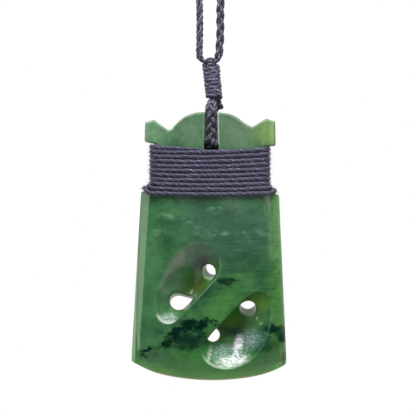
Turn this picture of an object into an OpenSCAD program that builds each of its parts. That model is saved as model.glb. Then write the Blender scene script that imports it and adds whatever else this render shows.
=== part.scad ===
// Greenstone adze pendant on a plaited cord.
// The origin is the nape of the neck loop. The pendant hangs below it, +Z is up, and the front faces -Y.
// Heights inside the pendant are counted from the top of the stone's middle hump.

/* [Hang] */
// Drop from the nape to the top of the stone
drop = 310; // [300:1:330]
// Plaited neck cord, width across its flat face
plait_w = 1.74; // [1.4:0.02:2]
// Plaited neck cord, thickness
plait_t = 1.34; // [1:0.02:1.5]

/* [Stone] */
// Half thickness of the stone at its thickest
face_y = 3.75; // [3.4:0.05:4]
// Half thickness left at the cutting edge
edge_y = 0.5; // [0.4:0.05:0.8]
// Radius of the curved cutting edge
edge_r = 46; // [45.6:0.1:46.6]
// Half width of the waist that the lashing fills
waist_x = 11.5; // [11:0.1:12]
// Depth of the carved scoops
scoop_depth = 5; // [4.6:0.1:5.3]
// Radius of the hole for the hanging loop
loop_hole_r = 1.5; // [1.45:0.05:1.6]

/* [Lashing] */
// Diameter of the waxed lashing cord
lash_d = 0.9; // [0.8:0.01:0.92]

/* [Knot] */
// Diameter of the wrapping cord
wrap_d = 0.82; // [0.7:0.01:0.84]
// Turns of the wrapping
wrap_turns = 8.5; // [8:0.5:8.5]

/* [Loop] */
// Diameter of each strand of the hanging loop's plait
strand_d = 0.62; // [0.56:0.02:0.64]
// Length of one full weave of a strand
strand_period = 6.5; // [6:0.1:7]

/* [Hidden] */

jade = "#3f7d4b";
waxed = "#5a5869";
sides = 8;
through = 14;

// Smooth curves and sweeps

// A smooth curve through the points of a route, with steps pieces between two points
function on_curve(p, i, t) =
  let (a = p[max(i - 1, 0)], b = p[i], c = p[i + 1], d = p[min(i + 2, len(p) - 1)])
  b + 0.5 * t * ((c - a) + t * ((2 * a - 5 * b + 4 * c - d) + t * (3 * (b - c) + d - a)));
function curve(p, steps) =
  [for (i = [0:len(p) - 2], j = [0:steps - 1]) on_curve(p, i, j / steps), p[len(p) - 1]];

// Distance run along a route at each of its points
function run(p, i = 1, sofar = [0]) =
  i == len(p) ? sofar : run(p, i + 1, concat(sofar, [sofar[i - 1] + norm(p[i] - p[i - 1])]));

function unit(v) = v / norm(v);
function heading(p, i) = unit(p[min(i + 1, len(p) - 1)] - p[max(i - 1, 0)]);

// One polyhedron swept along a route. half holds each ring's two half widths: across the side direction
// that stays square to up, and across the other
module sweep(p, half, up) {
  last = len(p) - 1;
  ring = [for (i = [0:last])
    let (t = heading(p, i), a = unit(cross(up, t)), b = cross(t, a))
    for (k = [0:sides - 1])
      p[i] + half[i][0] * cos(360 * k / sides) * a + half[i][1] * sin(360 * k / sides) * b];
  walls = [for (i = [0:last - 1], k = [0:sides - 1])
    let (n = (k + 1) % sides) [i * sides + k, (i + 1) * sides + k, (i + 1) * sides + n, i * sides + n]];
  start = [for (k = [0:sides - 1]) k];
  end = [for (k = [sides - 1:-1:0]) last * sides + k];
  polyhedron(points = ring, faces = concat([start], walls, [end]));
}

function round_cord(p, d) = [for (i = [0:len(p) - 1]) [d / 2, d / 2]];

module hung() translate([0, 0, -drop]) children();

// Stone

hump = [[-8.6, -3.68], [-7.9, -3.42], [-7.1, -2.55], [-6, -1.5], [-4.6, -0.62], [-2.2, 0], [1.8, 0],
  [4.8, -0.6], [7.1, -2.2], [8.7, -3.02]];
left_horn = [[-13.5, -6], [-13.35, -2.1], [-11.5, -1.55]];
right_horn = [[11.6, -1.3], [13.4, -1.9], [13.5, -6.9]];
right_side = [[14.22, -16.9], [15.79, -51.9], [5, -56.96]];
left_side = [[-6, -56.46], [-16.2, -51.2], [-14.15, -16]];
edge_centre = [0.5, -9.2];
crown_r = 600;
crown_z = -32;

crown_heights = [4, -4, -12, -20, -28, -36, -44, -58];

// Half thickness of the crowned faces at a height
function half_at(z) = face_y - pow(z - crown_z, 2) / (2 * crown_r);

// The cutting edge thins along an arc that follows the curved bottom
thin_from = 35.3;
thin_steps = 8;
function thin_at(s) = edge_y + (face_y + 0.1 - edge_y) * sqrt(1 - s * s);
thin_profile = [for (i = [0:thin_steps])
  let (s = i / thin_steps) [thin_from + (edge_r - thin_from) * s, thin_at(s)]];

module blank() {
  intersection() {
    rotate([90, 0, 0]) linear_extrude(through, center = true)
      polygon(concat(left_horn, curve(hump, 3), right_horn, right_side, left_side));
    rotate([90, 0, 90]) linear_extrude(60, center = true) polygon(concat(
      [for (z = crown_heights) [-half_at(z), z]], [for (i = [len(crown_heights) - 1:-1:0])
        [half_at(crown_heights[i]), crown_heights[i]]]));
    translate([edge_centre[0], 0, edge_centre[1]]) rotate([90, 0, 0]) rotate_extrude($fn = 180)
      polygon(concat([[0, face_y + 0.1]], thin_profile,
        [for (i = [thin_steps:-1:0]) [thin_profile[i][0], -thin_profile[i][1]]], [[0, -face_y - 0.1]]));
  }
}

// Long flat bevels, two on the left edge and one on the right.
// Columns: side, where the bevel meets the face at its top and at its foot, and its angle
BEVELS = [
  [-1, [-12.25, -16.3], [-14.45, -51], 40],
  [-1, [-12.97, -16.3], [-14.75, -51], 52],
  [1, [12.6, -16.9], [14.05, -51.8], 40],
];
bevel_block = [20, 8, 78];
bevel_below = 60;

// Low down the bevels lean in with the thinning faces. This is where, and how much
foot_z = -46.8;
foot_depth = 0.28;
foot_lean = 14.5;

// One bevel on the front (-1) or back (1) from height z, where it starts at a depth under the face
module bevel(b, front, z, depth, lean) {
  slant = atan2(b[2][0] - b[1][0], b[1][1] - b[2][1]);
  x = b[1][0] + (b[1][1] - z) * tan(slant);
  translate([x, front * (face_y - depth), z]) rotate([-front * lean, -slant, 0])
    rotate([0, 0, -b[0] * front * b[3]])
    translate([-bevel_block[0] / 2, front > 0 ? 0 : -bevel_block[1], -bevel_below]) cube(bevel_block);
}

// Waist: the shoulders and the horns' undersides end it, and its corners are round where the cord bends
waist_corner = 1.2;
waist_y = half_at(-12);
left_waist = [[-20, -6], [-13.5, -6], [-12.3, -6.35], [-8, -6.8], [-8, -14.6], [-11.5, -15.5],
  [-14.05, -16.4], [-20, -18.5]];
right_waist = [[20, -6.9], [13.4, -6.9], [8, -7.3], [8, -15.6], [11.45, -16.2], [14.15, -16.95],
  [20, -18.6]];
module waist_core() {
  for (sx = [-1, 1], sy = [-1, 1])
    translate([sx * (waist_x - waist_corner), sy * (waist_y - waist_corner)])
      circle(r = waist_corner, $fn = 48);
  square([2 * (waist_x - waist_corner), 2 * waist_y + 4], center = true);
  square([2 * waist_x, 2 * (waist_y - waist_corner)], center = true);
}
module waist() intersection() {
  translate([0, 0, -20]) linear_extrude(16) difference() {
    square([44, through], center = true);
    waist_core();
  }
  rotate([90, 0, 0]) linear_extrude(through, center = true) {
    polygon(left_waist);
    polygon(right_waist);
  }
}

// Scoops: each is a leaning bowl with an egg-shaped rim, cut off by one straight wall.
// Columns: start of the straight edge, its direction, side of the bowl, bowl centre along and across the
// edge, half length, half width, turn of the rim, widening along the edge, lean of the bowl, lean of the wall
SCOOPS = [
  [[-6.1, -42], 47.2, 1, [5.9, 3.75], 9.4, 5.3, 10, 0.15, 0.36, 0.2],
  [[-0.35, -46.1], 46.3, -1, [4.95, 4.05], 10, 5.9, -9.5, -0.27, 0.3, 0.05],
];
scoop_curve = 0.72;
bowl_points = 28;
bowl_above = 1;
bowl_shares = [0, 0.2, 0.4, 0.6, 0.8, 0.92, 0.98];
bowl_levels = concat([-bowl_above], bowl_shares * scoop_depth);

function scoop_place(s, u, n, d) =
  [s[0][0] + u * cos(s[1]) - n * s[2] * sin(s[1]), d - face_y,
    s[0][1] + u * sin(s[1]) + n * s[2] * cos(s[1])];
function bowl_point(s, d, angle) =
  let (q = pow(1 - d / scoop_depth, scoop_curve),
    x = q * cos(angle), y = q * sin(angle) * (1 + s[7] * x), a = s[4] * x, b = s[5] * y,
    u = s[3][0] + a * cos(s[6]) - b * sin(s[6]),
    n = s[3][1] - s[8] * d + a * sin(s[6]) + b * cos(s[6]))
  scoop_place(s, u, max(n, s[9] * d), d);
module scoop(s) {
  levels = len(bowl_levels);
  walls = [for (i = [0:levels - 2], k = [0:bowl_points - 1])
    let (n = (k + 1) % bowl_points)
    [i * bowl_points + k, (i + 1) * bowl_points + k, (i + 1) * bowl_points + n, i * bowl_points + n]];
  polyhedron(
    points = [for (d = bowl_levels, k = [0:bowl_points - 1]) bowl_point(s, d, -s[2] * 360 * k / bowl_points)],
    faces = concat([[for (k = [0:bowl_points - 1]) k]], walls,
      [[for (k = [bowl_points - 1:-1:0]) (levels - 1) * bowl_points + k]]));
}

// Leaning holes at both ends of each scoop's straight wall, drilled from the back until they open into the
// scoop. Columns: centre at the back, radius, shift in X and in Z for each millimetre towards the front
HOLES = [
  [[0.95, -31.75], 1.5, [-0.24, -0.22]],
  [[7.8, -38.45], 1.7, [0, -0.42]],
  [[0.6, -45.95], 1.4, [0, 0.05]],
];
drilled = 6;
module along_bore(h) {
  aside = atan(h[2][0]);
  translate([h[0][0], face_y, h[0][1]]) rotate([90 - atan(h[2][1] * cos(aside)), 0, aside])
    translate([0, 0, -drilled]) children();
}
module hole(h) along_bore(h) cylinder(r = h[1], h = 2 * drilled, $fn = 48);

// The lowest hole of the left scoop, filed on into a slot that tapers to a small round end
slot = [[-6.45, -39.7], 1.75, [0, 0.2]];
slot_end = [2.3, 0.7];
slot_end_r = 0.55;
arc_step = 10;
module slot_hole() {
  way = atan2(slot_end[1], slot_end[0]);
  tangent = acos((slot[1] - slot_end_r) / norm(slot_end));
  along_bore(slot) linear_extrude(2 * drilled) polygon(concat(
    [for (a = [way + tangent:arc_step:way + 360 - tangent]) slot[1] * [cos(a), sin(a)]],
    [for (a = [way - tangent:arc_step:way + tangent]) slot_end + slot_end_r * [cos(a), sin(a)]]));
}

// Hanging loop: the hole and a round channel up each face
loop_x = 0.3;
loop_hole_z = -7;
channel_r = 1.4;
channel_y = 3.35;
module loop_way() translate([loop_x, 0, loop_hole_z]) {
  rotate([90, 0, 0]) cylinder(r = loop_hole_r, h = through, center = true, $fn = 48);
  for (front = [-1, 1]) translate([0, front * channel_y, 0]) cylinder(r = channel_r, h = 12, $fn = 48);
}

module blade() color(jade) hung() difference() {
  blank();
  waist();
  loop_way();
  for (s = SCOOPS) scoop(s);
  for (h = HOLES) hole(h);
  slot_hole();
  for (front = [-1, 1], b = BEVELS) {
    bevel(b, front, b[1][1], 0, 0);
    bevel(b, front, foot_z, foot_depth, foot_lean);
  }
}

// Lashing: one cord wound down the waist. Each front pass is level and each back pass steps down by one cord.
lash_passes = 10;
lash_gap = 0.08;
lash_r = lash_d / 2;
lash_bend = waist_corner + lash_r + lash_gap;
lash_edge = waist_x + lash_r + lash_gap;
lash_sag = 0.25;
front_end = 10.3;
front_steps = 6;
stub_from = -2;
stub_whole = -7;
stub_d = 0.3;
stub_gap = 0.03;
tail_drop = 0.5;

// The last two passes spread over the shoulders. Columns: the cord's reach to the side, its height, its bend
low_left = [[12.6, -15.15, 0.9], [13.5, -15.6, 0.9]];
low_right = [[12.45, -15.55, 0.9], [13.3, -16.15, 0.9]];
upright_passes = lash_passes - len(low_left);
function lash_side(i, low, top, pitch) =
  i > upright_passes ? low[i - upright_passes - 1] : [lash_edge, top - pitch * (i - 1), lash_bend];
function lash_left(i) = lash_side(i, low_left, -8, 0.925);
function lash_right(i) = lash_side(i, low_right, -7.5, 1.03);
function lash_y(z) = max(half_at(z), waist_y) + lash_r + lash_gap;

// Height of front pass i at x. Pass 0 is the short start, pressed on pass 1 where it is tucked away
function front_z(i, x) = let (s = (x + front_end) / (2 * front_end))
  (-8.11 - 0.942 * (i - 1)) * (1 - s) + (-7.76 - 0.983 * (i - 1)) * s - lash_sag * 4 * s * (1 - s);
function stub_size(x) =
  x > stub_whole ? stub_d + (lash_d - stub_d) * (stub_from - x) / (stub_from - stub_whole) : lash_d;
function stub_z(x) = front_z(1, x) + (lash_d + stub_size(x)) / 2 + stub_gap;

// A quarter bend from the side to a face, and the same bend walked the other way
function bend(way, side, face, z) = [for (a = [0:30:90])
  let (c = way[2], y = lash_y(z))
  [side * (way[0] - c + c * cos(a)), face * (y - c + c * sin(a)), way[1] + (z - way[1]) * pow(a / 90, 2)]];
function backwards(p) = [for (i = [len(p) - 1:-1:0]) p[i]];

// From the left edge after pass i - 1, round the back, to the left edge after pass i
function lash_turn(i) = let (l = lash_left(i - 1), r = lash_right(i), e = lash_left(i)) concat(
  bend(l, -1, 1, l[1]),
  [for (s = [0.25, 0.5, 0.75])
    let (z = l[1] + (r[1] - l[1]) * s) [waist_x * (2 * s - 1), lash_y(z), z]],
  backwards(bend(r, 1, 1, r[1])),
  [[r[0], 0, r[1]]],
  bend(r, 1, -1, front_z(i, front_end)),
  [for (k = [1:front_steps - 1])
    let (x = front_end * (1 - 2 * k / front_steps), z = front_z(i, x)) [x, -lash_y(z), z]],
  backwards(bend(e, -1, -1, front_z(i, -front_end))),
  [[-e[0], 0, e[1]]]);
function lash_start() = concat(
  [for (x = [stub_from, -4, -6, -8]) let (z = stub_z(x)) [x, -lash_y(z), z]],
  backwards(bend(lash_left(0), -1, -1, stub_z(-front_end))), [[-lash_edge, 0, lash_left(0)[1]]]);
function lash_end() = let (e = lash_left(lash_passes)) concat(
  bend(e, -1, 1, e[1] - tail_drop / 2), [for (x = [-10, -8]) [x, lash_y(e[1]), e[1] - tail_drop]]);

module lashing() color(waxed) hung() {
  start = lash_start();
  path = concat(start, [for (i = [1:lash_passes]) each lash_turn(i)], lash_end());
  sweep(path, [for (i = [0:len(path) - 1])
    let (d = i < len(start) ? stub_size(path[i][0]) : lash_d) [d / 2, d / 2]], [0, 0, 1]);
}

// Wrapped knot, leaning a little to the right as it goes down
knot_top = [0.17, 0, 10.1];
knot_bottom = [0.86, 0, 2.7];
wrap_ring = 16;
wrap_top_r = 1.43;
wrap_bottom_r = 1.35;
module knot_wrap() color(waxed) hung() {
  n = wrap_turns * wrap_ring;
  low = knot_bottom + [0, 0, wrap_d / 2];
  high = knot_top - [0, 0, wrap_d / 2];
  path = [for (i = [0:n])
    let (s = i / n, a = 360 * i / wrap_ring, r = wrap_bottom_r + (wrap_top_r - wrap_bottom_r) * s)
    low + (high - low) * s + [r * cos(a), r * sin(a), 0]];
  sweep(path, round_cord(path, wrap_d), [0, 0, 1]);
}

// End of the wrapping, laid over the crotch between the two neck cords
tuck_d = 0.56;
tuck_route = [[-0.95, -1.08, 10.5], [-0.55, -0.9, 10.85], [0.15, 0, 11.05], [0.8, 0.9, 10.85],
  [1.15, 1.08, 10.5]];
module knot_tuck() color(waxed) hung() {
  path = curve(tuck_route, 3);
  sweep(path, round_cord(path, tuck_d), [0, 0, 1]);
}

// Hanging loop: its route from inside the knot, down the front channel, through the hole and up the back
loop_route = [[0.52, -0.38, 6.5], [0.66, -0.38, 4.6], [0.56, -0.42, 2.95], [0.34, -1.05, 2.15],
  [0.22, -2.15, 1.2], [0.22, -2.9, 0.1], [0.3, -3, -1.6], [0.3, -3, -3.4], [0.3, -3, -5.2],
  [0.3, -2.7, -6.2], [0.3, -1.6, -6.55], [0.3, 0, -6.58], [0.3, 1.6, -6.55], [0.3, 2.7, -6.2],
  [0.3, 3, -5.2], [0.3, 3, -3.4], [0.3, 3, -1.6], [0.34, 3.08, -0.1], [1.06, 2.92, 0.88], [1.7, 2.1, 1.5],
  [1.6, 1.15, 2.2], [1.08, 0.42, 2.95], [0.72, 0.38, 4.6], [0.54, 0.38, 6.5]];
loop_rings = 72;
weave_w = 0.75;
weave_t = 0.46;
squeezed = 0.45;
squeeze_from = 1.3;
squeeze_over = 1.5;

// How tightly the plait is pulled together at a height: fully inside the knot, not at all below it
function squeeze(z) =
  let (s = min(1, max(0, (z - squeeze_from) / squeeze_over))) 1 - (1 - squeezed) * s * s * (3 - 2 * s);

module loop_strand(k) color(waxed) hung() {
  route = curve(loop_route, 6);
  far = run(route);
  at = [for (a = [0:2]) [for (i = [0:len(route) - 1]) [far[i], route[i][a]]]];
  long = far[len(far) - 1];
  centre = [for (j = [0:loop_rings]) let (s = long * j / loop_rings) [for (a = [0:2]) lookup(s, at[a])]];
  path = [for (j = [0:loop_rings])
    let (t = heading(centre, j), n = unit(cross(t, [1, 0, 0])), w = cross(n, t), q = squeeze(centre[j][2]),
      a = 360 * (long * j / loop_rings) / strand_period + 120 * k)
    centre[j] + q * weave_w * sin(a) * w + q * weave_t * sin(2 * a) * n];
  sweep(path, [for (c = centre) let (r = squeeze(c[2]) * strand_d / 2) [r, r]], [1, 0, 0]);
}

// Neck cord: half of the loop, from the nape knot round and down, as half distance from the middle and height
neck_route = [[4.7, 0], [12, -0.6], [24, -4], [38, -12], [50, -24], [59, -40], [64, -59], [65, -79],
  [63, -100], [58, -123], [51, -146], [43, -169], [34.5, -192], [26, -215], [18, -237], [11, -256], [6, -270],
  [3, -279], [2.2, -287], [2.12, -294]];
// Columns of the stretch that bends into the knot: left cord's X, right cord's X, height, share of full width
knot_entry = [[-2.18, 1.9, 12.6, 1], [-2.15, 1.76, 11.6, 1], [-1.8, 1.5, 10.95, 0.85],
  [-1.15, 1.15, 10.5, 0.5], [-0.6, 0.85, 10.05, 0.42], [-0.42, 0.72, 9.4, 0.42],
  [-0.27, 0.66, 8.6, 0.4], [-0.18, 0.62, 7.3, 0.4]];
entry_depth = 0.64;

// side is -1 for the left cord and 1 for the right. The left one shows its thin edge, the right its flat face
module neck_cord(side) color(waxed) {
  loose = [for (p = neck_route) [side * p[0], 0, p[1]]];
  entry = [for (e = knot_entry) [e[side > 0 ? 1 : 0], 0, e[2] - drop]];
  path = curve(concat(loose, entry), 2);
  across = side > 0 ? plait_w / 2 : plait_t / 2;
  deep = side > 0 ? plait_t / 2 : plait_w / 2;
  shares = [for (e = backwards(knot_entry)) [e[2], e[3]]];
  sweep(path, [for (p = path) let (q = lookup(p[2] + drop, shares))
    [q * across, q == 1 ? deep : min(deep, entry_depth)]], [0, 1, 0]);
}
module neck_cord_left() neck_cord(-1);
module neck_cord_right() neck_cord(1);

// Hidden closure at the nape: one plain barrel between the ends of the two cords
nape_profile = [[0, -4.5], [1.3, -4.5], [2, -4], [2.3, -3], [2.4, 0], [2.3, 3], [2, 4], [1.3, 4.5], [0, 4.5]];
module nape_knot() color(waxed) rotate([0, 90, 0]) rotate_extrude($fn = 64) polygon(nape_profile);

blade();
lashing();
loop_strand(0);  // loop_strand_1
loop_strand(1);  // loop_strand_2
loop_strand(2);  // loop_strand_3
knot_wrap();
knot_tuck();
neck_cord_left();
neck_cord_right();
nape_knot();
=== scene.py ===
import math

import bpy
import numpy as np
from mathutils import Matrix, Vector


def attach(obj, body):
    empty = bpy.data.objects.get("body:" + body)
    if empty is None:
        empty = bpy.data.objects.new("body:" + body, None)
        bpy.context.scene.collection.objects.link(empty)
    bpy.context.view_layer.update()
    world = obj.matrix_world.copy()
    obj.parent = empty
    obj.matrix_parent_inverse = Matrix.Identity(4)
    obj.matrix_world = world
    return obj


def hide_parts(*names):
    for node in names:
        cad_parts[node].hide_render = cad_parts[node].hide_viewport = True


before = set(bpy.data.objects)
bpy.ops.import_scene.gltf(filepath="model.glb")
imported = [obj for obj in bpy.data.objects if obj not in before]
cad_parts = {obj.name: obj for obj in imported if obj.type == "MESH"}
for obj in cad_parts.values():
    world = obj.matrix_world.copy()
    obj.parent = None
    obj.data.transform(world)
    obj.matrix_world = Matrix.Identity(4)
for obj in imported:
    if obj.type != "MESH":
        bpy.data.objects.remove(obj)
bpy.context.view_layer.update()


# Greenstone blade: one piece of nephrite, sawn and ground to an adze, with two carved scoops, drilled holes
# and a channel for the loop. Every edge is eased and the whole is polished, the right scoop a little less.
# Sizes are in millimetres, with heights counted from the top of the middle hump, as in the part's source.

MM = 0.001
# How far the hump's top hangs below the nape
DROP = 310.0

# Half thickness, and the long crown of both faces
FACE_Y = 3.75
CROWN_R = 600.0
CROWN_Z = -32.0
# Cutting edge: its half thickness, its arc, and the arc along which each face falls away to it. The top of
# that second arc lies a little above the face.
EDGE_Y = 0.5
EDGE_R = 46.0
EDGE_CENTRE = (0.5, -9.2)
THIN_FROM = 35.3
THIN_RUN = EDGE_R - THIN_FROM
THIN_OVER = 0.1
THIN_RISE = FACE_Y + THIN_OVER - EDGE_Y
# Waist: half width, rounding of its corners, a height in its middle and the height of its foot
WAIST_X = 11.5
WAIST_CORNER = 1.2
WAIST_Z = -12.0
WAIST_FOOT = -16.0
# How far each kind of edge is eased
STONE_EASE = 0.45
CUT_EASE = 0.3
BOWL_EASE = 0.9
HOLE_EASE = 0.6
CHANNEL_EASE = 0.25
# Height of the unevenness that hand grinding leaves
UNEVEN = 0.02
# Size of the mesh's cells, and the box that they fill
FINE_STEP = 0.25
STONE_LOW = (-17.3, -5.0, -56.0)
STONE_HIGH = (17.3, 5.0, 1.0)

HUMP = [(-8.6, -3.68), (-7.9, -3.42), (-7.1, -2.55), (-6, -1.5), (-4.6, -0.62), (-2.2, 0), (1.8, 0),
        (4.8, -0.6), (7.1, -2.2), (8.7, -3.02)]
LEFT_HORN = [(-13.5, -6), (-13.35, -2.1), (-11.5, -1.55)]
RIGHT_HORN = [(11.6, -1.3), (13.4, -1.9), (13.5, -6.9)]
RIGHT_SIDE = [(14.22, -16.9), (15.79, -51.9), (5, -56.96)]
LEFT_SIDE = [(-6, -56.46), (-16.2, -51.2), (-14.15, -16)]
LEFT_WAIST = [(-20, -6), (-13.5, -6), (-12.3, -6.35), (-8, -6.8), (-8, -14.6), (-11.5, -15.5),
              (-14.05, -16.4), (-20, -18.5)]
RIGHT_WAIST = [(20, -6.9), (13.4, -6.9), (8, -7.3), (8, -15.6), (11.45, -16.2), (14.15, -16.95),
               (20, -18.6)]

# Each scoop runs beside one straight edge. Its bowl's centre is counted along and across that edge.
SCOOPS = [
    dict(start=(-6.1, -42), direction=47.2, side=1, centre=(5.9, 3.75), half_l=9.4, half_w=5.3, turn=10,
         widening=0.15, lean=0.36, wall_lean=0.2),
    dict(start=(-0.35, -46.1), direction=46.3, side=-1, centre=(4.95, 4.05), half_l=10.0, half_w=5.9,
         turn=-9.5, widening=-0.27, lean=0.3, wall_lean=0.05),
]
SCOOP_DEPTH = 5.0
SCOOP_CURVE = 0.72

# Each hole has its centre on the back, its radius, and how far it moves in X and in Z for each millimetre
# towards the front. One was filed on into a slot: the far end's offset in X and in Z, and its radius.
HOLES = [
    dict(centre=(0.95, -31.75), r=1.5, lean=(-0.24, -0.22)),
    dict(centre=(-6.45, -39.7), r=1.75, lean=(0.0, 0.2), slot=(2.3, 0.7, 0.55)),
    dict(centre=(7.8, -38.45), r=1.7, lean=(0.0, -0.42)),
    dict(centre=(0.6, -45.95), r=1.4, lean=(0.0, 0.05)),
]
DRILLED = 6.0

LOOP_X = 0.3
LOOP_HOLE_Z = -7.0
LOOP_HOLE_R = 1.5
CHANNEL_R = 1.4
CHANNEL_Y = 3.35

# Long bevels, two on the left edge and one on the right: where each meets the face and its angle, then
# how far each is eased
BEVELS = [
    dict(side=-1, top=(-12.25, -16.3), foot=(-14.45, -51), angle=40),
    dict(side=-1, top=(-12.97, -16.3), foot=(-14.75, -51), angle=52),
    dict(side=1, top=(12.6, -16.9), foot=(14.05, -51.8), angle=40),
]
BEVEL_EASE = (0.12, 0.12, 1.0)
# Above this height, on the horns, the bevels are rubbed back and soft
WORN_FROM = -14.0
WORN_OVER = 3.0
WORN_BACK = 1.6
WORN_EASE = 1.4


def smooth_route(points, steps):
    """A smooth curve through the points, with so many steps from each to the next."""
    p = np.array(points, dtype=float)
    out = []
    for i in range(len(p) - 1):
        a, b = p[max(i - 1, 0)], p[i]
        c, d = p[i + 1], p[min(i + 2, len(p) - 1)]
        for t in np.arange(steps) / steps:
            bend = (2 * a - 5 * b + 4 * c - d) + t * (3 * (b - c) + d - a)
            out.append(b + 0.5 * t * ((c - a) + t * bend))
    out.append(p[-1])
    return np.array(out)


stone_outline = LEFT_HORN + [tuple(p) for p in smooth_route(HUMP, 6)] + RIGHT_HORN + RIGHT_SIDE + LEFT_SIDE


def ramp(value, start, length):
    """0 up to the start, then rising to 1 over the length."""
    return np.clip((value - start) / length, 0, 1)


def fuse(a, b, ease):
    """The larger of two distances, with the edge between them eased."""
    h = np.maximum(ease - np.abs(a - b), 0) / ease
    return np.maximum(a, b) + h * h * ease / 4


def outline_distance(points, x, z):
    """Signed distance to a closed outline, below zero inside it."""
    best = 1e9
    inside = False
    count = len(points)
    for i in range(count):
        ax, az = points[i]
        bx, bz = points[(i + 1) % count]
        ex, ez = bx - ax, bz - az
        t = np.clip(((x - ax) * ex + (z - az) * ez) / (ex * ex + ez * ez), 0, 1)
        best = np.minimum(best, (x - ax - t * ex) ** 2 + (z - az - t * ez) ** 2)
        crosses = ((az > z) != (bz > z)) & (x < ex * (z - az) / (ez if ez else 1e-9) + ax)
        inside = inside ^ crosses
    return np.where(inside, -1, 1) * np.sqrt(best)


def crowned_half(z):
    return FACE_Y - (z - CROWN_Z) ** 2 / (2 * CROWN_R)


def edge_reach(x, z):
    """Distance from the centre of the cutting edge's arc."""
    return np.hypot(x - EDGE_CENTRE[0], z - EDGE_CENTRE[1])


def face_half(x, z):
    """Half thickness of the stone, which falls away along an arc to the cutting edge."""
    # The arc stops short of its steep end
    s = np.clip((edge_reach(x, z) - THIN_FROM) / THIN_RUN, 0, 0.97)
    return np.minimum(crowned_half(z), EDGE_Y + THIN_RISE * np.sqrt(1 - s * s))


def line_x(top, foot, z):
    """X at height z on the straight line through top and foot."""
    return top[0] + (top[1] - z) * (foot[0] - top[0]) / (top[1] - foot[1])


def bevel_distance(x, ay, z, side, top, foot, angle):
    """Distance to a long bevel, which leans in with the thinning faces near its foot."""
    angle = math.radians(angle)
    return math.sin(angle) * side * (x - line_x(top, foot, z)) + math.cos(angle) * (ay - face_half(x, z))


def scoop_distance(x, y, z, start, direction, side, centre, half_l, half_w, turn, widening, lean, wall_lean):
    """Distance to a leaning bowl whose egg-shaped rim narrows with depth, cut off by one straight wall."""
    c, s = math.cos(math.radians(direction)), math.sin(math.radians(direction))
    along = (x - start[0]) * c + (z - start[1]) * s
    aside = side * (-(x - start[0]) * s + (z - start[1]) * c)
    down = y + FACE_Y
    ct, st = math.cos(math.radians(turn)), math.sin(math.radians(turn))
    du, dn = along - centre[0], aside - centre[1] + lean * down
    a = (du * ct + dn * st) / half_l
    width = half_w * (1 + widening * np.clip(a, -1.4, 1.4))
    b = (-du * st + dn * ct) / width
    radius = np.sqrt(a * a + b * b) + 1e-6
    left = np.maximum(1 - down / SCOOP_DEPTH, 1e-3)
    share = left ** SCOOP_CURVE
    narrowing = SCOOP_CURVE * share / left / SCOOP_DEPTH
    slope = np.sqrt((a / radius / half_l) ** 2 + (b / radius / width) ** 2
                    + (narrowing + b / radius * lean / width) ** 2)
    bowl = np.where(down < SCOOP_DEPTH, (radius - share) / slope, 1.0 + 0 * radius)
    wall = (wall_lean * down - aside) / math.sqrt(1 + wall_lean * wall_lean)
    return fuse(bowl, wall, BOWL_EASE)


def hole_distance(x, y, z, centre, r, lean, slot=None):
    """Distance to a leaning bore, which is drilled from the back and ends in the scoop."""
    axis = np.array([lean[0], -1.0, lean[1]]) / math.sqrt(1 + lean[0] ** 2 + lean[1] ** 2)
    level = np.array([1.0, lean[0], 0.0]) / math.sqrt(1 + lean[0] ** 2)
    rise = np.cross(axis, level)
    px, py, pz = x - centre[0], y - FACE_Y, z - centre[1]
    along = px * axis[0] + py * axis[1] + pz * axis[2]
    a = px * level[0] + py * level[1]
    b = px * rise[0] + py * rise[1] + pz * rise[2]
    off = np.sqrt(a * a + b * b) - r
    if slot:
        far_x, far_z, far_r = slot
        run = math.hypot(far_x, far_z)
        taper = (r - far_r) / run
        straight = math.sqrt(1 - taper * taper)
        far = (a * far_x + b * far_z) / run
        aside = np.abs(b * far_x - a * far_z) / run
        place = far * straight - aside * taper
        end = np.sqrt((far - run) ** 2 + aside ** 2) - far_r
        sides = aside * straight + far * taper - r
        off = np.where(place > straight * run, end, np.where(place > 0, sides, off))
    return np.maximum(off, along - DRILLED)


def hand_ground(x, z):
    """Slight, wandering unevenness of the faces."""
    return (UNEVEN * np.sin(0.61 * x + 0.4 * np.sin(0.33 * z))
            * np.sin(0.47 * z + 0.8 + 0.5 * np.sin(0.29 * x)))


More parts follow.
